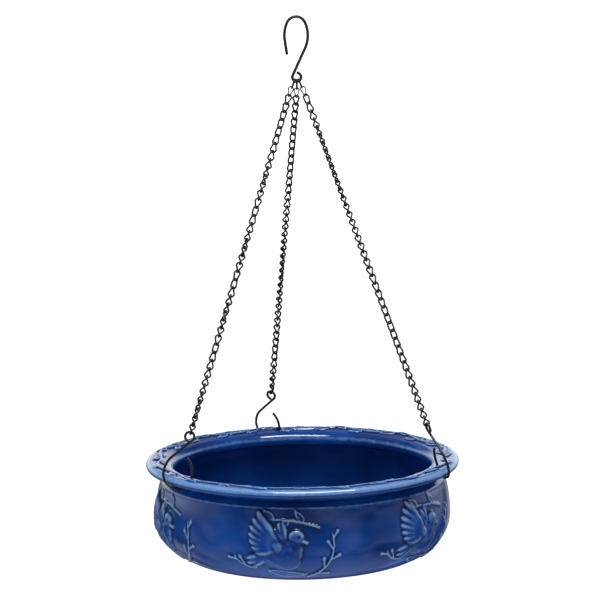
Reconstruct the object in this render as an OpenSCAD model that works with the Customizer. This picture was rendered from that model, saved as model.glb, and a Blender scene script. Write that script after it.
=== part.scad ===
// Hanging bird bath: a round bowl on three twisted-link chains that meet at one hook.
// The origin is where the hook rests on what it hangs from. +Z is up and the hook lies in the XZ plane.

/* [Bowl] */
// Diameter over the rolled lip
rim_d = 318; // [312:1:322]
// Height from the foot to the crest of the rim
bowl_h = 101; // [95:1:115]
// Clay thickness at the side
side_wall = 6.5; // [5:0.5:8]
// Clay thickness at the bottom
floor_t = 7.5; // [6:0.5:9]
// Diameter of the three hook holes in the rim
hole_d = 8; // [7.5:0.25:8.5]

/* [Hanging] */
// From the resting point of the top hook down to the crest of the rim
drop = 444; // [438:1:446]
// Wire of the top hook
crown_wire = 3; // [2.6:0.1:3.1]
// Wire of the three rim hooks
rim_wire = 2.6; // [2.2:0.1:2.7]

/* [Chain] */
// Wire of the chain links
link_wire = 1.9; // [1.7:0.05:1.9]
// Wire of the first two links of each chain, which share the ring
top_link_wire = 1.3; // [1.2:0.05:1.3]
// Outside width of a link
link_w = 8; // [7.8:0.1:8.2]
// Outside width of the first two links
top_link_w = 6.5; // [6.4:0.1:6.6]
// Inside length of a link
link_inner = 8.45; // [8.4:0.05:8.5]
// Turn between the two ends of one link
link_twist = 75; // [65:1:80]

/* [Hidden] */
$fn = 48;
arc_steps = 8;
ball_over = 0.06;
SIDES = ["back", "left", "right"];
GROUPS = [1 : 14];
links_per_group = 3;

// Bowl: radii are measured from the crest line of the rim, heights down from it.
lip_w = 6;
lip_h = 4.6;
crest_r = rim_d / 2 - lip_w;
flange_t = 7;
neck_r = crest_r - 14.5;
neck_depth = 12.5;
neck_fillet = 5.5;
neck_wall = 8.5;
belly_r = crest_r - 3;
belly_depth = 57;
upper_belly_h = 42;
foot_r = 94;
foot_recess = 1.5;
foot_ring_w = 1.5;
bottom_curve = belly_r - 100;
hole_circle_r = crest_r - 8;
hole_depth = 11;

// Top hook: an oval crown over the support, a free leg, a leaning shank and a ring for the chains.
crown_half_w = 11.8;
crown_drop = 18.5;
side_r = 30;
side_to_top = (pow(side_r - crown_half_w, 2) + pow(side_r - crown_drop, 2)) / (2 * (side_r - crown_drop));
top_r = side_r - side_to_top;
top_z = crown_wire / 2 - top_r;
side_turn = acos((side_r - crown_half_w) / side_to_top);
side_z = crown_wire / 2 - crown_drop;
leg_lean = 8;
leg_h = 14;
ring_r = 4.4;
ring_z = -58.5;
ring_turn = 283;

// Rim hooks: drawn with the rim bearing point at the origin and the pull of the chain along +Z.
hook_corner_r = 6.5;
hook_base_in = 6.5;
hook_base_out = 1.5;
hook_leg_h = 8;
hook_tip_r = 20;
hook_tip_turn = 55;
hook_outer_r = 14;
hook_outer_h = 2;
hook_waist_r = 22;
hook_eye_h = 52.5;
hook_eye_r = 4.6;
hook_eye_turn = 300;
hook_hole_depth = 4;
bearing_r = crest_r + 3.3;
bearing_depth = 10;
bearing_turn = 3.7;

// Chains
link_r = (link_w - link_wire) / 2;
top_link_r = (top_link_w - top_link_wire) / 2;
link_reach = link_inner + link_wire;
first_lean = 22;
first_seat = 44.3;
seat_play = 0.1;
second_rise = top_link_wire + 0.4;

// Helpers for directions
function unit(v) = v / norm(v);
function square_to(v, line) = v - (v * line) * line;
function on_circle(r, turn, z) = [r * cos(turn), r * sin(turn), z];

// Points of an elliptical arc in a profile
function arc(x, z, rx, rz, from, to) =
    [for (i = [0 : arc_steps]) let (a = from + (to - from) * i / arc_steps) [x + rx * cos(a), z + rz * sin(a)]];

// What differs from one chain to the next
function hole_turn(side) = side == "back" ? 90 : side == "left" ? 210 : 330;
function bearing_at(side) = hole_turn(side) + (side == "back" ? bearing_turn : -bearing_turn);
function lean_sign(side) = side == "back" ? 0 : side == "left" ? -1 : 1;
function group_name(side, group) = str(side, "_links_", group < 10 ? "0" : "", group);

// Roll of a chain about its own line, link by link from the top: [link, degrees]
function roll_table(side) =
    side == "back" ? [[0, 37.5], [13, -10], [25, -80], [36, -160], [42, -265]] :
    side == "left" ? [[0, 37.5], [8, -20], [33, -550], [42, -648]] :
    [[0, 37.5], [5, -65], [12, -90], [26, -150], [42, -220]];

// The chain runs straight from the bottom of its first link to its rim hook.
function first_top(side) =
    let (seat = ring_r - (crown_wire + top_link_wire) / 2 - seat_play, turn = lean_sign(side) * first_seat)
    [seat * sin(turn), 0, ring_z - seat * cos(turn)];
function first_dir(side) = let (lean = lean_sign(side) * first_lean) [sin(lean), 0, -cos(lean)];
function first_bottom(side) = first_top(side) + link_reach * first_dir(side);
function bearing(side) = on_circle(bearing_r, bearing_at(side), -drop - bearing_depth);
function pull(side) = unit(first_bottom(side) - bearing(side));
function chain_top(side) = first_bottom(side) + [0, 0, second_rise];
function chain_end(side) =
    bearing(side) + (hook_eye_h + hook_eye_r - rim_wire / 2 - link_wire / 2 - seat_play) * pull(side);
function chain_dir(side) = unit(chain_end(side) - chain_top(side));
function pitch(side) =
    (norm(chain_end(side) - chain_top(side)) - link_reach) / (links_per_group * len([for (g = GROUPS) g]));
function link_place(side, number) = chain_top(side) + number * pitch(side) * chain_dir(side);

// Moves children to a place, their X toward one direction and their Z exactly along another
module stand(place, x_dir, z_dir) {
    x = unit(square_to(x_dir, z_dir));
    y = cross(z_dir, x);
    multmatrix([
        [x[0], y[0], z_dir[0], place[0]],
        [x[1], y[1], z_dir[1], place[1]],
        [x[2], y[2], z_dir[2], place[2]]
    ]) children();
}

// Round wire in the XZ plane: a straight piece, a bend about a centre, and a ball that rounds an end
// or closes a joint between two pieces. Angles run from +X toward +Z.
module straight(start, end, wire) {
    run = end - start;
    translate([start[0], 0, start[1]])
        rotate([0, atan2(run[0], run[1]), 0])
            cylinder(d = wire, h = norm(run));
    ball(start, wire);
    ball(end, wire);
}

module bend(centre, r, from, turn, wire) {
    translate([centre[0], 0, centre[1]])
        rotate([90, 0, 0])
            rotate(turn < 0 ? from + turn : from)
                rotate_extrude(angle = abs(turn)) translate([r, 0]) circle(d = wire);
}

module ball(centre, wire) {
    translate([centre[0], 0, centre[1]]) sphere(d = wire + ball_over);
}

module bowl_profile() {
    inner_belly_r = belly_r - side_wall;
    inner_neck_r = neck_r - neck_wall;
    inner_floor = -bowl_h + floor_t;
    inner_curve = bottom_curve - 2.5;
    inner_upper_h = upper_belly_h - 1;
    polygon(concat(
        [[0, -bowl_h + foot_recess], [foot_r - foot_ring_w, -bowl_h + foot_recess], [foot_r, -bowl_h]],
        arc(belly_r - bottom_curve, -belly_depth, bottom_curve, bowl_h - belly_depth, -90, 0),
        arc(neck_r, -belly_depth, belly_r - neck_r, upper_belly_h, 0, 90),
        arc(neck_r + neck_fillet, -neck_depth, neck_fillet, neck_fillet, 180, 90),
        arc(crest_r, -lip_h, lip_w, lip_h, -140, 90),
        arc(inner_neck_r + 9, -11, 9, 8.8, 100, 180),
        arc(inner_neck_r + 3, -neck_depth, 3, 3.5, 180, 270),
        arc(inner_neck_r + 3, -belly_depth, inner_belly_r - inner_neck_r - 3, inner_upper_h, 90, 0),
        arc(inner_belly_r - inner_curve, -belly_depth, inner_curve, -belly_depth - inner_floor, 0, -90),
        [[0, inner_floor]]
    ));
}

module bowl() {
    color("SteelBlue")
        translate([0, 0, -drop])
            difference() {
                rotate_extrude($fn = 120) bowl_profile();
                for (side = SIDES)
                    translate(on_circle(hole_circle_r, hole_turn(side), -hole_depth))
                        cylinder(d = hole_d, h = hole_depth + 1);
            }
}

module hanger_hook() {
    side_x = side_r - crown_half_w;
    leg_top = [side_x, side_z] - side_r * [cos(leg_lean), sin(leg_lean)];
    leg_end = leg_top + leg_h * [sin(leg_lean), -cos(leg_lean)];
    to_ring = [0, ring_z] - [-side_x, side_z];
    heading = atan2(to_ring[1], to_ring[0]) - asin((side_r + ring_r) / norm(to_ring));
    normal = [-sin(heading), cos(heading)];
    shank_top = [-side_x, side_z] + side_r * normal;
    ring_join = [0, ring_z] - ring_r * normal;
    join_turn = heading - 90;
    ring_end = join_turn + ring_turn;
    color("Black") {
        bend([0, top_z], top_r, side_turn, 180 - 2 * side_turn, crown_wire);
        for (flip = [0, 1])
            mirror([flip, 0, 0]) ball([top_r * cos(side_turn), top_z + top_r * sin(side_turn)], crown_wire);
        bend([side_x, side_z], side_r, 180 - side_turn, side_turn + leg_lean, crown_wire);
        straight(leg_top, leg_end, crown_wire);
        bend([-side_x, side_z], side_r, heading + 90, side_turn - heading - 90, crown_wire);
        straight(shank_top, ring_join, crown_wire);
        bend([0, ring_z], ring_r, join_turn, ring_turn, crown_wire);
        ball([ring_r * cos(ring_end), ring_z + ring_r * sin(ring_end)], crown_wire);
    }
}

// A rim hook comes up through its hole, round under the rolled lip and back over to an eye for the chain.
module rim_hook_wire() {
    leg_x = -hook_base_in - hook_corner_r;
    leg_top = hook_corner_r + hook_leg_h;
    tip_centre = [leg_x + hook_tip_r, leg_top];
    tip = 180 - hook_tip_turn;
    outer_x = hook_base_out + hook_outer_r;
    waist_centre = [outer_x - hook_waist_r, hook_outer_r + hook_outer_h];
    eye_centre = [0, hook_eye_h];
    span = eye_centre - waist_centre;
    heading = atan2(span[1], span[0]) + asin((hook_waist_r + hook_eye_r) / norm(span));
    shank_start = waist_centre + hook_waist_r * [sin(heading), -cos(heading)];
    eye_start = eye_centre - hook_eye_r * [sin(heading), -cos(heading)];
    eye_end = heading + 90 - hook_eye_turn;
    bend(tip_centre, hook_tip_r, tip, hook_tip_turn, rim_wire);
    ball(tip_centre + hook_tip_r * [cos(tip), sin(tip)], rim_wire);
    straight([leg_x, leg_top], [leg_x, hook_corner_r], rim_wire);
    bend([-hook_base_in, hook_corner_r], hook_corner_r, 180, 90, rim_wire);
    straight([-hook_base_in, 0], [hook_base_out, 0], rim_wire);
    bend([hook_base_out, hook_outer_r], hook_outer_r, -90, 90, rim_wire);
    straight([outer_x, hook_outer_r], [outer_x, hook_outer_r + hook_outer_h], rim_wire);
    bend(waist_centre, hook_waist_r, 0, heading - 90, rim_wire);
    straight(shank_start, eye_start, rim_wire);
    bend(eye_centre, hook_eye_r, heading + 90, -hook_eye_turn, rim_wire);
    ball(eye_centre + hook_eye_r * [cos(eye_end), sin(eye_end)], rim_wire);
}

module rim_hook(side) {
    hole = on_circle(hole_circle_r, hole_turn(side), -drop - hook_hole_depth);
    color("Black")
        stand(bearing(side), bearing(side) - hole, pull(side))
            rim_hook_wire();
}

// A chain link, from the middle of its top wire down along +Z, its two ends turned from each other
module link(r, wire) {
    leg = link_reach - 2 * r;
    half_twist = link_twist / 2;
    side_step = 2 * r * sin(half_twist);
    lean = atan2(side_step, leg);
    joint_d = wire + ball_over;
    for (flip = [0, 180])
        rotate(flip) {
            translate([r * cos(half_twist), -side_step / 2, r]) {
                sphere(d = joint_d);
                rotate([-lean, 0, 0]) cylinder(d = wire, h = norm([side_step, leg]));
            }
            translate([r * cos(half_twist), side_step / 2, r + leg]) sphere(d = joint_d);
        }
    rotate(-half_twist) bend([0, r], r, 180, 180, wire);
    rotate(half_twist) bend([0, r + leg], r, 0, 180, wire);
}

// The first links are not twisted, so their sides are straight and smooth.
module first_link(side) {
    r = top_link_r;
    leg = link_reach - 2 * r;
    color("Black")
        stand(first_top(side), [0, 1, 0], first_dir(side)) {
            bend([0, r], r, 180, 180, top_link_wire);
            for (x = [-r, r]) straight([x, r], [x, r + leg], top_link_wire);
            bend([0, r + leg], r, 0, 180, top_link_wire);
        }
}

module chain_link(side, number, r, wire) {
    stand(link_place(side, number), [1, 0, 0], chain_dir(side))
        rotate(lookup(number, roll_table(side)))
            link(r, wire);
}

module second_link(side) {
    color("Black") chain_link(side, 0, top_link_r, top_link_wire);
}

module chain_group(side, group) {
    first = (group - 1) * links_per_group + 1;
    color("Black")
        for (number = [first : first + links_per_group - 1])
            chain_link(side, number, link_r, link_wire);
}

bowl();
hanger_hook();
for (side = SIDES) {
    rim_hook(side);
    first_link(side);
    second_link(side);
    for (group = GROUPS)
        chain_group(side, group);
}
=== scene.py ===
"""Hanging bird bath: a blue glazed bowl in relief, held by three twisted-link chains and a top hook."""

import math

import bpy
import numpy as np
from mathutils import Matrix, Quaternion, Vector


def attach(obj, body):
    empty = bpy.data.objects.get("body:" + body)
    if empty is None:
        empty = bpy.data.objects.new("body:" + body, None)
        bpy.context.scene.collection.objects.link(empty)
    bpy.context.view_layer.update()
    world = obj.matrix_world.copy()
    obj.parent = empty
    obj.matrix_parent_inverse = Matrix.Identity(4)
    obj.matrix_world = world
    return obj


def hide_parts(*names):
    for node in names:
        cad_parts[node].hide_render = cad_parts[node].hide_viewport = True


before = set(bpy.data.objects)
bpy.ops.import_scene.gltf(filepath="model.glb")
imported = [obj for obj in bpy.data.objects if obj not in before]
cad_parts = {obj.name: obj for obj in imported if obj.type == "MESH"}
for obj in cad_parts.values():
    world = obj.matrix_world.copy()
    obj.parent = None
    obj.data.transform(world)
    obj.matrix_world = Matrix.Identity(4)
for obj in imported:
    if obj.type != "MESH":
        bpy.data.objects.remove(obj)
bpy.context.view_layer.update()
MM = 0.001

# ---------------------------------------------------------------- sizes, in millimetres, as the CAD has them

SIDES = ("back", "left", "right")
HOLE_TURN = {"back": 90, "left": 210, "right": 330}
RIM_Z = -444.0
CREST_R = 153.0
CROWN_WIRE, RIM_WIRE, LINK_WIRE, TOP_LINK_WIRE = 3.0, 2.6, 1.9, 1.3
LINK_W, TOP_LINK_W, LINK_INNER, LINK_TWIST = 8.0, 6.5, 8.45, 75
LINK_R = (LINK_W - LINK_WIRE) / 2
TOP_LINK_R = (TOP_LINK_W - TOP_LINK_WIRE) / 2
LINK_REACH = LINK_INNER + LINK_WIRE
RING_R, RING_Z = 4.4, -58.5
RING_SEAT_TURN, TOP_LINK_LEAN = 44.3, 22
PLAY, SECOND_LINK_RISE = 0.1, 0.4
HOLE_R, HOLE_INSET, HOOK_HOLE_DEPTH = 4.0, 8.0, 4.0
BEARING_OUT, BEARING_DROP, BEARING_TURN = 3.3, 10.0, 3.7
EYE_H, EYE_R = 52.5, 4.6
LINKS_PER_CHAIN, LINKS_PER_NODE, NODES_PER_BODY = 42, 3, 2
# how far the links of each chain are rolled about its line, in degrees, by link number
ROLL = {
    "back": [(0, 37.5), (13, -10), (25, -80), (36, -160), (42, -265)],
    "left": [(0, 37.5), (8, -20), (33, -550), (42, -648)],
    "right": [(0, 37.5), (5, -65), (12, -90), (26, -150), (42, -220)],
}
# which way along X each first link leans
SIGN = {"back": 0, "left": -1, "right": 1}


def unit(v):
    """A vector's direction."""
    return v / np.linalg.norm(v)


def square_to(v, line):
    """The part of a vector that is square to a unit vector."""
    return v - (v @ line) * line


def on_circle(r, turn, z):
    """A point on a level circle round the bowl's axis."""
    a = math.radians(turn)
    return np.array([r * math.cos(a), r * math.sin(a), z])


# ---------------------------------------------------------------- mesh helpers


def mesh_object(name, verts, faces, material):
    """A piece from points in millimetres, with its own name and material."""
    mesh = bpy.data.meshes.new(name)
    mesh.from_pydata((np.asarray(verts) * MM).tolist(), [], faces)
    mesh.update()
    mesh.shade_smooth()
    obj = bpy.data.objects.new(name, mesh)
    bpy.context.collection.objects.link(obj)
    mesh.materials.append(material)
    return obj


def grid_faces(rows, columns, closed_rows=False, start=0):
    """Quads between neighbouring rings of points. start is the number of the first point."""
    faces = []
    for row in range(rows if closed_rows else rows - 1):
        here = start + row * columns
        there = start + (row + 1) % rows * columns
        for column in range(columns):
            after = (column + 1) % columns
            faces.append((here + column, here + after, there + after, there + column))
    return faces


def sweep(path, radii, sides=12, closed=False):
    """Points and faces of a round wire along a path, rolled as little as possible."""
    path = np.asarray(path, float)
    count = len(path)
    if closed:
        tangents = np.roll(path, -1, 0) - np.roll(path, 1, 0)
    else:
        tangents = np.gradient(path, axis=0)
    tangents /= np.linalg.norm(tangents, axis=1)[:, None]
    helper = np.array([0.31, 0.87, 0.38])
    across = unit(square_to(helper, tangents[0]))
    frames = [across]
    for tangent in tangents[1:]:
        across = unit(square_to(across, tangent))
        frames.append(across)
    turn_back = 0.0
    if closed:
        last = unit(square_to(frames[-1], tangents[0]))
        turn_back = math.atan2(np.cross(last, frames[0]) @ tangents[0], last @ frames[0])
    verts = []
    for i in range(count):
        side_axis = np.cross(tangents[i], frames[i])
        twist = turn_back * i / count
        for k in range(sides):
            a = 2 * math.pi * k / sides + twist
            verts.append(path[i] + radii[i] * (math.cos(a) * frames[i] + math.sin(a) * side_axis))
    faces = grid_faces(count, sides, closed_rows=closed)
    if not closed:
        faces.append(tuple(range(sides))[::-1])
        faces.append(tuple((count - 1) * sides + k for k in range(sides)))
    return verts, faces


def rounded_ends(path, radius):
    """A path and its radii with both ends carried on and rounded off."""
    steps = 5
    path = [np.asarray(p, float) for p in path]
    first = unit(path[0] - path[1])
    last = unit(path[-1] - path[-2])
    lead, lead_r = [], []
    for i in range(steps):
        a = math.radians(88 * (1 - i / steps))
        lead.append(path[0] + first * radius * 0.8 * math.sin(a))
        lead_r.append(radius * math.cos(a) ** 0.8)
    tail = []
    for i in range(steps):
        a = math.radians(88 * (i + 1) / steps)
        tail.append(path[-1] + last * radius * 0.8 * math.sin(a))
    return lead + path + tail, lead_r + [radius] * len(path) + lead_r[::-1]


def lengths_along(line):
    """How far each point of a line is from its start."""
    steps = np.linalg.norm(np.diff(line, axis=0), axis=1)
    return np.concatenate([[0], np.cumsum(steps)])


def arc(x, z, rx, rz, start, end, steps):
    """Points of an elliptical arc in a plane, ends included."""
    angles = np.radians(np.linspace(start, end, steps + 1))
    return [(x + rx * math.cos(a), z + rz * math.sin(a)) for a in angles]


def join_points(*runs):
    """Runs of points as one line, without doubled points."""
    line = []
    for run in runs:
        for point in run:
            if not line or math.dist(line[-1], point) > 0.02:
                line.append(point)
    return line


# ---------------------------------------------------------------- materials


def new_material(name):
    """A material with only a Principled shader and its output."""
    material = bpy.data.materials.new(name)
    material.use_nodes = True
    tree = material.node_tree
    tree.nodes.clear()
    output = tree.nodes.new("ShaderNodeOutputMaterial")
    shader = tree.nodes.new("ShaderNodeBsdfPrincipled")
    tree.links.new(shader.outputs[0], output.inputs[0])
    return material, tree, shader


def node(tree, kind, inputs=(), **settings):
    """A node with its settings, and its inputs given as numbers or as other nodes' outputs."""
    made = tree.nodes.new(kind)
    for key, value in settings.items():
        setattr(made, key, value)
    for key, value in dict(inputs).items():
        if isinstance(value, bpy.types.NodeSocket):
            tree.links.new(value, made.inputs[key])
        else:
            made.inputs[key].default_value = value
    return made


def remap(tree, value, start, end, low=0.0, high=1.0):
    """A value from start to end taken to low to high, and held there beyond."""
    ends = {"Value": value, "From Min": start, "From Max": end, "To Min": low, "To Max": high}
    return node(tree, "ShaderNodeMapRange", ends).outputs[0]


def join(tree, operation, first, second):
    """Two values added, multiplied or compared."""
    return node(tree, "ShaderNodeMath", {0: first, 1: second}, operation=operation).outputs[0]


def noise(tree, place, scale, detail):
    """Soft random patches, smaller with a larger scale."""
    made = node(tree, "ShaderNodeTexNoise", {"Vector": place, "Scale": scale, "Detail": detail})
    return made.outputs["Fac"]


def ramp(tree, factor, stops):
    """A colour that runs through the given stops."""
    made = node(tree, "ShaderNodeValToRGB", {"Fac": factor})
    elements = made.color_ramp.elements
    while len(elements) < len(stops):
        elements.new(0.5)
    for element, (position, colour) in zip(elements, stops):
        element.position = position
        element.color = (*colour, 1)
    return made.outputs["Color"]


# the Mix node's sockets for colours
MIX_FACTOR, MIX_FIRST, MIX_SECOND, MIX_RESULT = 0, 6, 7, 2


def mix_colour(tree, factor, first, second):
    """A blend of two colours, each a value or a node's output."""
    made = tree.nodes.new("ShaderNodeMix")
    made.data_type = "RGBA"
    for index, value in ((MIX_FACTOR, factor), (MIX_FIRST, first), (MIX_SECOND, second)):
        if isinstance(value, bpy.types.NodeSocket):
            tree.links.new(value, made.inputs[index])
        else:
            made.inputs[index].default_value = value
    return made.outputs[MIX_RESULT]


GLAZE_DEEP = (0.0015, 0.015, 0.090)
GLAZE_MID = (0.002, 0.029, 0.155)
GLAZE_LIGHT = (0.005, 0.048, 0.225)
# the next two colours: painted shade with pooled glaze beside the relief, painted highlight with thin glaze
# on edges, lip and throat
GLAZE_POOLED_AND_SHADE = (0.0010, 0.0055, 0.028)
GLAZE_THIN_AND_HIGHLIGHT = (0.10, 0.20, 0.38)
GLAZE_GLOSS, GLAZE_IOR = 0.07, 1.47


def glaze_material():
    """Cobalt glaze: dark where it pools and as painted shade, pale where it runs thin over edges and as
    painted highlights, with soft ripples.
    """
    material, tree, shader = new_material("cobalt_glaze")
    place = node(tree, "ShaderNodeTexCoord").outputs["Object"]
    relief = node(tree, "ShaderNodeAttribute", attribute_name="relief").outputs["Fac"]
    clouds = noise(tree, place, 16.0, 4.0)
    body = ramp(tree, clouds, [(0.3, GLAZE_DEEP), (0.52, GLAZE_MID), (0.75, GLAZE_LIGHT)])
    uneven = remap(tree, noise(tree, place, 190.0, 3.0), 0.3, 0.7, -0.10, 0.10)
    level = join(tree, "ADD", relief, uneven)
    # painted light from the relief attribute: pale painted highlights above 0 and dark painted shade below 0,
    # on top of thin and pooled glaze
    thin_and_highlight = remap(tree, level, 0.15, 0.8, 0.0, 0.9)
    pooled_and_shade = remap(tree, level, -0.08, -0.7)
    dark = mix_colour(tree, pooled_and_shade, body, (*GLAZE_POOLED_AND_SHADE, 1))
    tree.links.new(mix_colour(tree, thin_and_highlight, dark, (*GLAZE_THIN_AND_HIGHLIGHT, 1)), shader.inputs["Base Color"])
    ripple = noise(tree, place, 26.0, 1.0)
    bump = node(tree, "ShaderNodeBump", {"Height": ripple, "Strength": 0.10, "Distance": 0.004})
    tree.links.new(bump.outputs[0], shader.inputs["Normal"])
    shader.inputs["Roughness"].default_value = GLAZE_GLOSS
    shader.inputs["IOR"].default_value = GLAZE_IOR
    return material


METAL_DARK, METAL_MID, METAL_WORN = (0.003, 0.003, 0.0035), (0.007, 0.007, 0.008), (0.018, 0.017, 0.017)


def metal_material():
    """Black coated wire: nearly black with worn, slightly uneven gloss."""
    material, tree, shader = new_material("black_coated_wire")
    place = node(tree, "ShaderNodeTexCoord").outputs["Object"]
    wear = noise(tree, place, 420.0, 4.0)
    colour = ramp(tree, wear, [(0.35, METAL_DARK), (0.62, METAL_MID), (0.8, METAL_WORN)])
    tree.links.new(colour, shader.inputs["Base Color"])
    tree.links.new(remap(tree, wear, 0.0, 1.0, 0.30, 0.5), shader.inputs["Roughness"])
    bump = node(tree, "ShaderNodeBump", {"Height": wear, "Strength": 0.12, "Distance": 0.0003})
    tree.links.new(bump.outputs[0], shader.inputs["Normal"])
    shader.inputs["IOR"].default_value = 1.4
    return material


GLAZE = glaze_material()
METAL = metal_material()

# ---------------------------------------------------------------- relief: heights on a 60 degree panel
# u runs round the belly and v up the wall, both in millimetres from the middle of a panel. Turns and tilts
# are in degrees, from u towards v.

TWIG_R, TWIG_HEIGHT = 1.5, 2.7
SHOOT_TURN, SHOOT_LENGTH, BUD_R = 40, 11, 2.4
LEAF_HEIGHT = 2.4
VINE_WAVE, VINE_R, VINE_HEIGHT = 3.6, 1.5, 2.0
VINE_LEAVES, VINE_LEAF_LENGTH, VINE_LEAF_OUT, VINE_LEAF_W, VINE_LEAF_BOW = 4, 17, 6.0, 7.0, 1.2


def curve_through(points):
    """A smooth line through points (Catmull-Rom)."""
    steps = 10
    p = [np.array(q, float) for q in points]
    p = [2 * p[0] - p[1]] + p + [2 * p[-1] - p[-2]]
    line = []
    for i in range(1, len(p) - 2):
        for t in np.linspace(0, 1, steps, endpoint=False):
            a = 2 * p[i] + (p[i + 1] - p[i - 1]) * t
            b = (2 * p[i - 1] - 5 * p[i] + 4 * p[i + 1] - p[i + 2]) * t**2
            c = (3 * p[i] - p[i - 1] - 3 * p[i + 1] + p[i + 2]) * t**3
            line.append((a + b + c) / 2)
    line.append(p[-2])
    return np.array(line)


def dome(u, v, centre, radii, tilt, height, power=0.6):
    """A smooth swelling with a clear edge."""
    a = math.radians(tilt)
    x = (u - centre[0]) * math.cos(a) + (v - centre[1]) * math.sin(a)
    y = (v - centre[1]) * math.cos(a) - (u - centre[0]) * math.sin(a)
    q = (x / radii[0]) ** 2 + (y / radii[1]) ** 2
    return height * np.clip(1 - q, 0, None) ** power


def stroke(u, v, points, radius, height, taper=0.0):
    """A raised twig along a smooth line. taper is how much thinner it is at its end."""
    line = curve_through(points)
    best = np.zeros_like(u)
    for i, (a, b) in enumerate(zip(line[:-1], line[1:])):
        ab = b - a
        t = np.clip(((u - a[0]) * ab[0] + (v - a[1]) * ab[1]) / (ab @ ab), 0, 1)
        distance = np.hypot(u - a[0] - t * ab[0], v - a[1] - t * ab[1])
        r = radius * (1 - taper * i / len(line))
        bead = np.sqrt(np.clip(1 - (distance / r) ** 2, 0, None))
        best = np.maximum(best, height * (r / radius) * bead)
    return best


def leaf(u, v, base, tip, width, height, bow=0.0):
    """A pointed leaf from base to tip: a raised outline and midrib round two shallow hollows."""
    base, tip = np.array(base, float), np.array(tip, float)
    length = np.linalg.norm(tip - base)
    along = (tip - base) / length
    x = (u - base[0]) * along[0] + (v - base[1]) * along[1]
    y = (v - base[1]) * along[0] - (u - base[0]) * along[1]
    t = x / length
    inside = (t > 0) & (t < 1)
    t = np.clip(t, 0, 1)
    y = y - bow * np.sin(math.pi * t)
    half = width / 2 * np.sin(math.pi * t**0.8) ** 0.8 + 1e-6
    from_edge = half - np.abs(y)
    outline = np.exp(-(((from_edge - 1.1) / 0.9) ** 2))
    midrib = 0.8 * np.exp(-((y / 0.7) ** 2))
    inner = 0.3 * np.clip(from_edge / 1.5, 0, 1)
    return np.where(inside & (from_edge > 0), height * np.maximum.reduce([outline, midrib, inner]), 0)


def feather_fan(u, v, root, turns, lengths, width, height):
    """Rounded feathers fanned from a root. Their overlaps make the grooves, their tips a scalloped edge."""
    fan = np.zeros_like(u)
    for turn, length in zip(turns, lengths):
        a = math.radians(turn)
        middle = (root[0] + length / 2 * math.cos(a), root[1] + length / 2 * math.sin(a))
        fan = np.maximum(fan, dome(u, v, middle, (length / 2, width / 2), turn, height, 0.5))
    return fan


def sprig(u, v, root, heading, bend, length, shoots, leaf_length=0.0):
    """A bending twig with shoots to its two sides by turns, ending in buds or in leaves of a given length."""
    steps = 6
    points = [np.array(root, float)]
    for step in range(steps):
        a = math.radians(heading + bend * (step + 0.5) / steps)
        points.append(points[-1] + length / steps * np.array([math.cos(a), math.sin(a)]))
    layers = [stroke(u, v, points, TWIG_R, TWIG_HEIGHT, taper=0.35)]
    for number in range(shoots):
        part = (number + 1) / (shoots + 0.4)
        side = 1 if number % 2 else -1
        x, y = np.transpose(points)
        start = np.array([np.interp(part * steps, range(steps + 1), line) for line in (x, y)])
        a = math.radians(heading + bend * part + side * SHOOT_TURN)
        way = np.array([math.cos(a), math.sin(a)])
        if leaf_length:
            layers.append(leaf(u, v, start, start + leaf_length * way, leaf_length * 0.45, LEAF_HEIGHT))
        else:
            tip = start + SHOOT_LENGTH * (1.2 - 0.5 * part) * way
            layers.append(stroke(u, v, [start, tip], TWIG_R * 0.75, TWIG_HEIGHT * 0.85))
            layers.append(dome(u, v, tip, (BUD_R, BUD_R * 0.85), math.degrees(a), TWIG_HEIGHT))
    return np.maximum.reduce(layers)


def bird(u, v):
    """A plain small bird with a tail and two lifted wings. Its lower edge fades into the wall.
    A dome is given by its centre, radii, tilt and height, and a fan by its root, turns, lengths, width
    and height."""
    fade = np.clip((0.87 * v + 0.5 * u + 31) / 12, 0, 1)
    tail = feather_fan(u, v, (-12, -8), (192, 205, 218), (26, 28, 25), 7, 3.4)
    body = dome(u, v, (-3, -9), (23, 17), -30, 4.8, 0.5) * fade
    breast = dome(u, v, (9, -5), (11.5, 15), -18, 5.0, 0.5) * fade
    head = dome(u, v, (14, 9), (8.6, 8.2), 0, 5.4, 0.5)
    beak = dome(u, v, (21.5, 5.5), (5.2, 2.3), -25, 4.6, 0.6)
    far_wing = feather_fan(u, v, (4, 3), (98, 112, 126), (23, 22, 19), 6.5, 4.2)
    near_wing = feather_fan(u, v, (-1, -1), np.linspace(124, 192, 7), np.linspace(43, 27, 7), 10.5, 6.8)
    shoulder = dome(u, v, (-6, 1), (10, 7.5), -35, 7.0, 0.5)
    eye = 0.9 * np.exp(-(((u - 16.5) ** 2 + (v - 10) ** 2) / 1.3))
    return np.maximum.reduce([tail, body, breast, head, beak, far_wing, near_wing, shoulder]) - eye


def panel_relief(u, v):
    """A small bird between two budding twigs, with a leafy stem over it and a leaf under it."""
    return np.maximum.reduce([
        sprig(u, v, root=(25, -38), heading=25, bend=78, length=60, shoots=5),
        sprig(u, v, root=(-28, -24), heading=185, bend=-70, length=26, shoots=2),
        sprig(u, v, root=(36, 19), heading=160, bend=25, length=50, shoots=3, leaf_length=16),
        leaf(u, v, base=(-17, -28), tip=(26, -33), width=11, height=LEAF_HEIGHT, bow=-3),
        bird(u, v),
    ])


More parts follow.
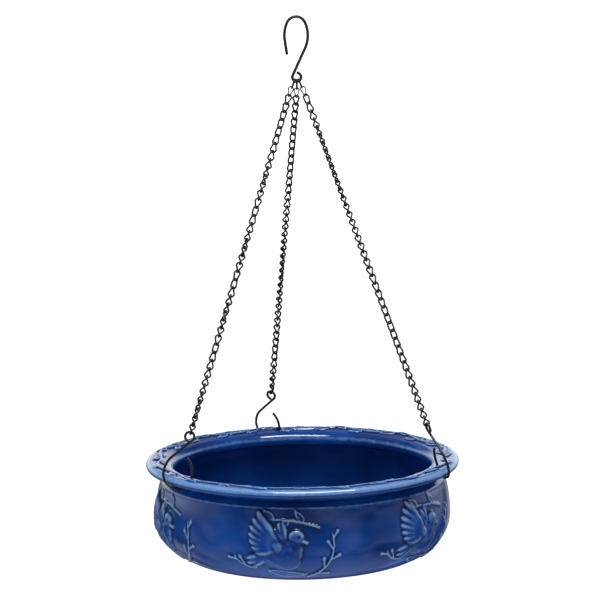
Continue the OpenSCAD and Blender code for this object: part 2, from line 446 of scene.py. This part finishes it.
def vine_ring(turn_mm, across, period):
    """A wavy vine with long leaves to its two sides by turns. across is measured over the rim."""
    phase = 2 * math.pi * turn_mm / period
    from_stem = (across - VINE_WAVE * np.sin(phase)) / VINE_R
    layers = [VINE_HEIGHT * np.sqrt(np.clip(1 - from_stem**2, 0, None))]
    for number in range(VINE_LEAVES):
        shift = (number + 0.5) / VINE_LEAVES
        root = VINE_WAVE * math.sin(2 * math.pi * shift)
        side = 1 if number % 2 else -1
        tip = (VINE_LEAF_LENGTH, root * 0.3 + side * VINE_LEAF_OUT)
        for turn in (-1, 0, 1):
            x = (turn_mm % period) - (shift + turn) * period
            layers.append(leaf(x, across, (0, root), tip, VINE_LEAF_W, VINE_HEIGHT, VINE_LEAF_BOW))
    return np.maximum.reduce(layers)


# ---------------------------------------------------------------- bowl

PANELS = 6
PANEL_STEPS = 200
PANEL_TURN = 252.0
BELLY_R = 150.0
RIM_MIDDLE_R = CREST_R - 6.0
BIRD_RELIEF = 0.8
RIDGE_Z, RIDGE_HEIGHT, RIDGE_WIDTH = -20.5, 0.7, 1.1
THROWING_RINGS, THROWING_STEP = 0.10, 2.3
VINE_PERIODS, VINE_LOWEST = 2, -5.5
# how strongly the painted highlight and painted shade follow the relief
SHADE_CONTRAST = 2.4
# a painted highlight, with thin glaze, along the lip's outer rounded edge
LIP_THIN_GLAZE_AND_HIGHLIGHT, LIP_HIGHLIGHT_R = 0.85, 157.0
# a painted highlight on the throat's rounded inner edge
THROAT_PAINTED_HIGHLIGHT, THROAT_EDGE = 0.42, np.array([131.0, -8.0])
DRILL_SIDES, DRILL_BELOW, DRILL_ABOVE = 40, 12.5, 6


def resample(points, step):
    """The same outline with even steps."""
    p = np.array(points)
    lengths = lengths_along(p)
    count = max(1, round(lengths[-1] / step))
    at = np.linspace(0, lengths[-1], count + 1)
    return np.column_stack([np.interp(at, lengths, p[:, 0]), np.interp(at, lengths, p[:, 1])])


def bowl_outline():
    """The wall in section from the middle underneath, out, up, over the rim and in to the middle, in
    radius and height from the crest of the rim. Each run has the spacing that its detail needs."""
    foot = resample([(4, -99.5), (92.5, -99.5), (94, -101), (100, -101)], 5)
    lower = resample(arc(100, -57, 50, 44, -90, 0, 60), 1.05)
    upper = resample(arc(138.5, -57, 11.5, 42, 0, 90, 60), 1.0)
    neck = resample(arc(144, -12.5, 5.5, 5.5, 180, 90, 12), 1.2)
    lip = resample(arc(CREST_R, -4.6, 6, 4.6, -140, 90, 40), 0.9)
    top = resample(arc(139, -11, 9, 8.8, 100, 180, 24), 1.0)
    flat = resample([(CREST_R, 0), top[0]], 0.75)
    throat = resample(arc(133, -12.5, 3, 3.5, 180, 270, 8), 1.2)
    inner_upper = resample(arc(133, -57, 10.5, 41, 90, 0, 40), 1.5)
    inner_lower = resample(arc(96, -57, 47.5, 36.5, 0, -90, 40), 1.6)
    floor = resample([(96, -93.5), (4, -93.5)], 9)
    runs = [foot, lower, upper, neck, lip, flat, top, throat, inner_upper, inner_lower, floor]
    names = ["foot", "lower", "upper", "neck", "lip", "flat", "top", "throat", "inner", "inner", "inner"]
    points, zones = [], []
    for run, name in zip(runs, names):
        for point in run:
            if points and math.dist(points[-1], point) < 0.3:
                continue
            points.append(tuple(point))
            zones.append(name)
    return np.array(points), np.array(zones)


def smooth_grid(height, times):
    """Softens heights as a glaze does, and wraps round the panel's sides."""
    for _ in range(times):
        height = (np.roll(height, 1, 1) + 2 * height + np.roll(height, -1, 1)) / 4
        height[1:-1] = (height[:-2] + 2 * height[1:-1] + height[2:]) / 4
    return height


def panel_turns():
    """The turns of a panel's columns from its middle, in radians."""
    span = 360 / PANELS
    return np.radians((np.arange(PANEL_STEPS) + 0.5) / PANEL_STEPS * span - span / 2)


def relief_heights(outline, zones):
    """How high the surface stands at each point of the outline (rows) and across one panel (columns)."""
    lengths = lengths_along(outline)
    height = np.zeros((len(outline), PANEL_STEPS))

    belly = np.isin(zones, ("lower", "upper"))
    widest = int(np.argmax(outline[:, 0] * belly))
    grid_u, grid_v = np.meshgrid(panel_turns() * BELLY_R, (lengths - lengths[widest])[belly])
    height[belly] = BIRD_RELIEF * panel_relief(grid_u, grid_v)
    ridge = RIDGE_HEIGHT * np.exp(-(((outline[:, 1] - RIDGE_Z) / RIDGE_WIDTH) ** 2)) * belly
    throwing = THROWING_RINGS * np.sin(lengths / THROWING_STEP) * (zones == "inner")
    height = np.maximum(height, ridge[:, None]) + throwing[:, None]

    rim = np.isin(zones, ("flat", "lip", "top")) & (outline[:, 1] > VINE_LOWEST)
    middle = int(np.argmin(np.hypot(outline[:, 0] - RIM_MIDDLE_R, outline[:, 1])))
    period = math.radians(360 / PANELS / VINE_PERIODS) * RIM_MIDDLE_R
    grid_u, grid_a = np.meshgrid(panel_turns() * RIM_MIDDLE_R, (lengths - lengths[middle])[rim])
    height[rim] = np.maximum(height[rim], vine_ring(grid_u, grid_a, period))
    return smooth_grid(height, 1)


def relief_shade(height, outline):
    """Pale above 0: thin glaze with a painted highlight on edges, and painted highlights on the lip and
    throat. Dark below 0: pooled glaze with painted shade beside the edges.
    """
    # painted highlight on raised edges and painted shade beside them, from the height less its softened
    # height
    shade = np.clip((height - smooth_grid(height.copy(), 4)) * SHADE_CONTRAST, -1, 1)
    # painted highlight, with thin glaze, along the lip's outer rounded edge
    lip = LIP_THIN_GLAZE_AND_HIGHLIGHT * np.exp(-(((outline[:, 0] - LIP_HIGHLIGHT_R) / 3.0) ** 2)) * (outline[:, 1] > -5)
    # painted highlight on the throat's rounded inner edge
    throat = THROAT_PAINTED_HIGHLIGHT * np.exp(-((outline - THROAT_EDGE) ** 2).sum(1) / 5.0)
    return np.clip(shade + (lip + throat)[:, None], -1, 1)


def make_bowl():
    """The outline turned round the bowl's axis, with the relief raised square to the wall."""
    outline, zones = bowl_outline()
    rows, columns = len(outline), PANELS * PANEL_STEPS
    tangents = np.gradient(outline, axis=0)
    normals = np.column_stack([tangents[:, 1], -tangents[:, 0]])
    normals /= np.linalg.norm(normals, axis=1)[:, None]
    height = relief_heights(outline, zones)
    relief = relief_shade(height, outline)

    first_turn = PANEL_TURN - 180 / PANELS
    turns = np.radians(first_turn + (np.arange(columns) + 0.5) / columns * 360)
    height_all = np.tile(height, (1, PANELS))
    radius = outline[:, 0][:, None] + normals[:, 0][:, None] * height_all
    level = outline[:, 1][:, None] + normals[:, 1][:, None] * height_all + RIM_Z
    verts = np.stack([radius * np.cos(turns), radius * np.sin(turns), level], axis=2).reshape(-1, 3)
    faces = grid_faces(rows, columns)
    under, inside = len(verts), len(verts) + 1
    verts = np.vstack([verts, [0, 0, outline[0, 1] + RIM_Z], [0, 0, outline[-1, 1] + RIM_Z]])
    last = (rows - 1) * columns
    for column in range(columns):
        after = (column + 1) % columns
        faces.append((under, after, column))
        faces.append((inside, last + column, last + after))
    bowl = mesh_object("glazed_bowl", verts, faces, GLAZE)
    # the painted highlights and painted shade go to each point as the relief attribute
    shade = np.concatenate([np.tile(relief, (1, PANELS)).reshape(-1), [0, 0]])
    attribute = bowl.data.attributes.new("relief", "FLOAT", "POINT")
    attribute.data.foreach_set("value", shade.astype(np.float32))
    drill_holes(bowl)
    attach(bowl, "hung_bowl")
    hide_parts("bowl")


def drill_holes(bowl):
    """Cuts the three hook holes through the rim."""
    verts, faces = [], []
    for side in SIDES:
        centre = on_circle(CREST_R - HOLE_INSET, HOLE_TURN[side], 0)
        start = len(verts)
        for z in (RIM_Z - DRILL_BELOW, RIM_Z + DRILL_ABOVE):
            for k in range(DRILL_SIDES):
                a = 2 * math.pi * k / DRILL_SIDES
                verts.append(centre + np.array([HOLE_R * math.cos(a), HOLE_R * math.sin(a), z]))
        faces += grid_faces(2, DRILL_SIDES, start=start)
        faces.append(tuple(start + k for k in range(DRILL_SIDES))[::-1])
        faces.append(tuple(start + DRILL_SIDES + k for k in range(DRILL_SIDES)))
    drill = mesh_object("drill", verts, faces, GLAZE)
    cut = bowl.modifiers.new("holes", "BOOLEAN")
    cut.operation = "DIFFERENCE"
    cut.solver = "MANIFOLD"
    cut.object = drill
    bpy.context.view_layer.update()
    depsgraph = bpy.context.evaluated_depsgraph_get()
    done = bpy.data.meshes.new_from_object(bowl.evaluated_get(depsgraph))
    bowl.modifiers.clear()
    old = bowl.data
    bowl.data = done
    bpy.data.meshes.remove(old)
    bpy.data.objects.remove(drill)


# ---------------------------------------------------------------- hooks


def wire_piece(name, path, wire, body, replaced):
    """An open length of wire that takes the place of one CAD node."""
    points, radii = rounded_ends(path, wire / 2)
    verts, faces = sweep(points, radii, sides=20)
    obj = mesh_object(name, verts, faces, METAL)
    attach(obj, body)
    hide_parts(replaced)


def make_top_hook():
    """The oval crown, its free leg, the leaning shank and the ring that the chains hang in."""
    half_w, drop, side_r, leg_lean, leg_h, ring_turn = 11.8, 18.5, 30, 8, 14, 283
    reach = ((side_r - half_w) ** 2 + (side_r - drop) ** 2) / (2 * (side_r - drop))
    top_r = side_r - reach
    side_turn = math.degrees(math.acos((side_r - half_w) / reach))
    side_x, side_z, top_z = side_r - half_w, CROWN_WIRE / 2 - drop, CROWN_WIRE / 2 - top_r
    to_ring = np.array([side_x, RING_Z - side_z])
    inward = math.asin((side_r + RING_R) / np.linalg.norm(to_ring))
    heading = math.degrees(math.atan2(to_ring[1], to_ring[0]) - inward)
    lean = math.radians(leg_lean)
    leg_top = np.array([side_x - side_r * math.cos(lean), side_z - side_r * math.sin(lean)])
    leg_end = leg_top + leg_h * np.array([math.sin(lean), -math.cos(lean)])
    line = join_points(
        resample([leg_end, leg_top], 1.5).tolist(),
        arc(side_x, side_z, side_r, side_r, 180 + leg_lean, 180 - side_turn, 20),
        arc(0, top_z, top_r, top_r, 180 - side_turn, side_turn, 30),
        arc(-side_x, side_z, side_r, side_r, side_turn, heading + 90, 24),
        arc(0, RING_Z, RING_R, RING_R, heading - 90, heading - 90 + ring_turn, 48),
    )
    path = resample(line, 0.6)
    wire_piece("top_hook_wire", [(x, 0, z) for x, z in path], CROWN_WIRE, "top_hook", "hanger_hook")


def rim_hook_line():
    """The rim hook in its own plane: outward, and up along the pull of its chain."""
    base_in, base_out, corner, outer, waist, rise = 6.5, 1.5, 6.5, 14, 22, 2
    leg_x, tip_r = -base_in - corner, 20
    centre = np.array([base_out + outer - waist, outer + rise])
    span = np.array([0, EYE_H]) - centre
    heading = math.atan2(span[1], span[0]) + math.asin((waist + EYE_R) / np.linalg.norm(span))
    turn = math.degrees(heading)
    return join_points(
        arc(leg_x + tip_r, corner + 8, tip_r, tip_r, 125, 180, 24),
        arc(-base_in, corner, corner, corner, 180, 270, 24),
        arc(base_out, outer, outer, outer, -90, 0, 30),
        arc(centre[0], centre[1], waist, waist, 0, turn - 90, 24),
        arc(0, EYE_H, EYE_R, EYE_R, turn + 90, turn - 210, 48),
    )


def first_top(side):
    """Where a chain's first link hangs on the ring."""
    seat = RING_R - (CROWN_WIRE + TOP_LINK_WIRE) / 2 - PLAY
    turn = math.radians(SIGN[side] * RING_SEAT_TURN)
    return np.array([seat * math.sin(turn), 0, RING_Z - seat * math.cos(turn)])


def first_dir(side):
    """The way a chain's first link hangs."""
    lean = math.radians(SIGN[side] * TOP_LINK_LEAN)
    return np.array([math.sin(lean), 0, -math.cos(lean)])


def first_bottom(side):
    """The lower end of a chain's first link."""
    return first_top(side) + LINK_REACH * first_dir(side)


def bearing(side):
    """The point on a rim hook's base, under the lip, that the hook's plane is measured from."""
    shift = BEARING_TURN if side == "back" else -BEARING_TURN
    return on_circle(CREST_R + BEARING_OUT, HOLE_TURN[side] + shift, RIM_Z - BEARING_DROP)


def pull(side):
    """The way a chain pulls its rim hook."""
    return unit(first_bottom(side) - bearing(side))


def make_rim_hooks():
    """One hook for each chain, in the plane of its hole, its bearing point and the chain's pull."""
    line = resample(rim_hook_line(), 0.6)
    for side in SIDES:
        up = pull(side)
        hole = on_circle(CREST_R - HOLE_INSET, HOLE_TURN[side], RIM_Z - HOOK_HOLE_DEPTH)
        out = unit(square_to(bearing(side) - hole, up))
        path = [bearing(side) + x * out + z * up for x, z in line]
        wire_piece(f"{side}_rim_hook_wire", path, RIM_WIRE, f"rim_hook_{side}", f"rim_hook_{side}")


# ---------------------------------------------------------------- chains

LOOP_POINTS = 56
SEAM_WAIST = 0.86


def link_loop(twist, r):
    """The middle line of one link, from its top wire down +Z, as a closed loop."""
    half = math.radians(twist / 2)
    leg_end = LINK_REACH - r
    top = [(r * math.cos(a), r - r * math.sin(a)) for a in np.linspace(0, math.pi, 14)]
    bottom = [(-r * math.cos(a), leg_end + r * math.sin(a)) for a in np.linspace(0, math.pi, 14)]
    points = [(x * math.cos(half), -x * math.sin(half), z) for x, z in top]
    points += [(x * math.cos(half), x * math.sin(half), z) for x, z in bottom]
    loop = np.array(points + points[:1])
    lengths = lengths_along(loop)
    at = np.linspace(0, lengths[-1], LOOP_POINTS + 1)[:-1]
    loop = np.column_stack([np.interp(at, lengths, loop[:, k]) for k in range(3)])
    for _ in range(2):
        loop = (np.roll(loop, 1, 0) + 2 * loop + np.roll(loop, -1, 0)) / 4
    loop[:, 2] = np.interp(loop[:, 2], (loop[:, 2].min(), loop[:, 2].max()), (0, LINK_REACH))
    return loop


def link_wire_radii(loop, wire):
    """Full thickness all round but for a fine seam where the bent wire's ends meet."""
    radii = np.full(len(loop), wire / 2)
    seam = int(np.argmin(np.abs(loop[:, 2] - LINK_REACH / 2) + 10 * (loop[:, 0] < 0)))
    radii[seam] *= SEAM_WAIST
    return radii


def place_loop(loop, at, x_dir, z_dir, roll=0.0):
    """A link's loop moved to a point, turned down a line and rolled about it."""
    x_axis = unit(square_to(np.asarray(x_dir, float), z_dir))
    y_axis = np.cross(z_dir, x_axis)
    a = math.radians(roll)
    rolled_x = loop[:, :1] * math.cos(a) - loop[:, 1:2] * math.sin(a)
    rolled_y = loop[:, :1] * math.sin(a) + loop[:, 1:2] * math.cos(a)
    return at + rolled_x * x_axis + rolled_y * y_axis + loop[:, 2:3] * z_dir


def links_piece(name, loops, radii, body, replaced):
    """The links of one CAD node."""
    verts, faces = [], []
    for loop in loops:
        more_verts, more_faces = sweep(loop, radii, sides=12, closed=True)
        start = len(verts)
        verts += more_verts
        faces += [tuple(start + k for k in face) for face in more_faces]
    obj = mesh_object(name, verts, faces, METAL)
    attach(obj, body)
    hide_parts(replaced)


def make_chain(side):
    """The first link on the ring, the second one, and the rest in groups down to the rim hook's eye."""
    plain, top_twisted = link_loop(0, TOP_LINK_R), link_loop(LINK_TWIST, TOP_LINK_R)
    twisted = link_loop(LINK_TWIST, LINK_R)
    radii = link_wire_radii(twisted, LINK_WIRE)
    top_radii = link_wire_radii(twisted, TOP_LINK_WIRE)
    first = place_loop(plain, first_top(side), (0, 1, 0), first_dir(side))
    links_piece(f"{side}_link_1", [first], top_radii, "top_links", f"{side}_first_link")
    lift = np.array([0, 0, TOP_LINK_WIRE + SECOND_LINK_RISE])
    top = first_bottom(side) + lift
    end = bearing(side) + (EYE_H + EYE_R - RIM_WIRE / 2 - LINK_WIRE / 2 - PLAY) * pull(side)
    down = unit(end - top)
    pitch = (np.linalg.norm(end - top) - LINK_REACH) / LINKS_PER_CHAIN
    stops, rolls = zip(*ROLL[side])

    def loop_at(number, loop=twisted):
        """The link that hangs this many below the second one, with the chain's roll there."""
        roll = float(np.interp(number, stops, rolls))
        return place_loop(loop, top + number * pitch * down, (1, 0, 0), down, roll)

    links_piece(f"{side}_link_2", [loop_at(0, top_twisted)], top_radii, "hung_bowl", f"{side}_second_link")
    for group in range(LINKS_PER_CHAIN // LINKS_PER_NODE):
        before = group * LINKS_PER_NODE
        loops = [loop_at(before + k + 1) for k in range(LINKS_PER_NODE)]
        body = f"{side}_chain_{group // NODES_PER_BODY + 1}"
        links_piece(f"{side}_links_{before + 3}_on", loops, radii, body, f"{side}_links_{group + 1:02d}")


make_bowl()
make_top_hook()
make_rim_hooks()
for side in SIDES:
    make_chain(side)

# ---------------------------------------------------------------- studio

FLOOR_Z, STUDIO_R, WALL_Z, WALL_SIDES = -2500, 18000, 40000, 64
FLOOR_GLOW, BELOW_GLOW, SWEEP_GLOW = 0.92, 0.7, 1.5
ROOM_DIM, ROOM_BRIGHT = 0.05, 0.6


def pale_material():
    """A matt pale surface with an even glow and a faint grain."""
    material, tree, shader = new_material("pale_studio")
    place = node(tree, "ShaderNodeTexCoord").outputs["Object"]
    grain = noise(tree, place, 3.0, 2.0)
    colour = ramp(tree, grain, [(0.3, (0.80, 0.80, 0.80)), (0.7, (0.84, 0.84, 0.84))])
    tree.links.new(colour, shader.inputs["Base Color"])
    shader.inputs["Roughness"].default_value = 0.7
    shader.inputs["Emission Color"].default_value = (1, 1, 1, 1)
    shader.inputs["Emission Strength"].default_value = FLOOR_GLOW
    return material


def make_floor():
    """A wide pale floor and a wall far round it. Glossy surfaces see the room in make_sky in their place."""
    material = pale_material()
    half = STUDIO_R
    corners = [(-half, -half, FLOOR_Z), (half, -half, FLOOR_Z), (half, half, FLOOR_Z), (-half, half, FLOOR_Z)]
    floor = mesh_object("floor", corners, [(0, 1, 2, 3)], material)
    floor.visible_glossy = False
    turns = [360 * side / WALL_SIDES for side in range(WALL_SIDES)]
    rings = [on_circle(STUDIO_R, turn, z) for z in (FLOOR_Z, WALL_Z) for turn in turns]
    wall = mesh_object("backdrop", rings, grid_faces(2, WALL_SIDES), material)
    wall.visible_glossy = False
    wall.visible_diffuse = False
    wall.visible_shadow = False


def make_sky():
    """A dim, uneven room with a pale sweep low behind the bowl and pale again straight below."""
    world = bpy.data.worlds.new("studio")
    bpy.context.scene.world = world
    world.use_nodes = True
    tree = world.node_tree
    # X, Y and Z of a direction run from -1 to 1, so Z says how high it points
    directions = node(tree, "ShaderNodeTexCoord").outputs["Generated"]
    way = node(tree, "ShaderNodeSeparateXYZ", {0: directions})
    low = remap(tree, way.outputs["Z"], 0.42, 0.24)
    back = remap(tree, way.outputs["Y"], -0.3, 0.5)
    above = remap(tree, way.outputs["Z"], -0.12, 0.06)
    band = join(tree, "MULTIPLY", join(tree, "MULTIPLY", low, above), back)
    behind = remap(tree, band, 0.0, 1.0, 0.0, SWEEP_GLOW)
    below = remap(tree, way.outputs["Z"], -0.6, -1.0, 0.0, BELOW_GLOW)
    room = remap(tree, noise(tree, directions, 2.6, 1.0), 0.42, 0.66, ROOM_DIM, ROOM_BRIGHT)
    lit = join(tree, "MAXIMUM", behind, below)
    glow = join(tree, "MAXIMUM", lit, room)
    background = tree.nodes["Background"]
    background.inputs["Color"].default_value = (0.94, 0.97, 1, 1)
    tree.links.new(glow, background.inputs["Strength"])


def area_light(name, at, aim, size, power):
    """A soft light turned to a point, in metres and watts."""
    light = bpy.data.lights.new(name, "AREA")
    light.shape = "RECTANGLE"
    light.size, light.size_y = size
    light.energy = power
    obj = bpy.data.objects.new(name, light)
    bpy.context.collection.objects.link(obj)
    obj.location = Vector(at)
    obj.rotation_euler = (Vector(aim) - Vector(at)).to_track_quat("-Z", "Y").to_euler()
    return obj


def make_studio():
    """Floor, room and three soft lights. The two low ones fill in without a glint of their own."""
    make_floor()
    make_sky()
    bowl_at = (0, 0, -0.46)
    area_light("top_soft", (0.05, -0.5, 1.1), bowl_at, (1.2, 0.55), 44)
    low_left = area_light("low_left", (-1.6, -1.1, -0.35), bowl_at, (0.9, 0.5), 13)
    low_front = area_light("low_front", (0.94, -1.77, -0.4), bowl_at, (0.8, 0.4), 8)
    for fill in (low_left, low_front):
        fill.visible_glossy = False
    bpy.context.scene.view_settings.view_transform = "Standard"


CAMERA_DISTANCE, CAMERA_TURN, CAMERA_HEIGHT = 2.6, -10.0, 12.1
CAMERA_LENS, CAMERA_PITCH, CAMERA_ROLL = 152.9, 8.59, 0.85


def make_camera():
    """Aimed along its own turn, and tilted down less than it is high, as the photograph frames the bath."""
    camera = bpy.data.objects.new("camera", bpy.data.cameras.new("camera"))
    bpy.context.collection.objects.link(camera)
    camera.data.lens = CAMERA_LENS
    camera.data.sensor_width = 36
    turn, high = math.radians(CAMERA_TURN), math.radians(CAMERA_HEIGHT)
    away = Vector((math.sin(turn) * math.cos(high), -math.cos(turn) * math.cos(high), math.sin(high)))
    camera.location = Vector((0, 0, RIM_Z * MM)) + away * CAMERA_DISTANCE
    pitch = math.radians(CAMERA_PITCH)
    look = Vector((-math.sin(turn) * math.cos(pitch), math.cos(turn) * math.cos(pitch), -math.sin(pitch)))
    camera.rotation_mode = "QUATERNION"
    aim = look.to_track_quat("-Z", "Y")
    camera.rotation_quaternion = aim @ Quaternion((0, 0, 1), math.radians(-CAMERA_ROLL))
    bpy.context.scene.camera = camera


make_studio()
make_camera()
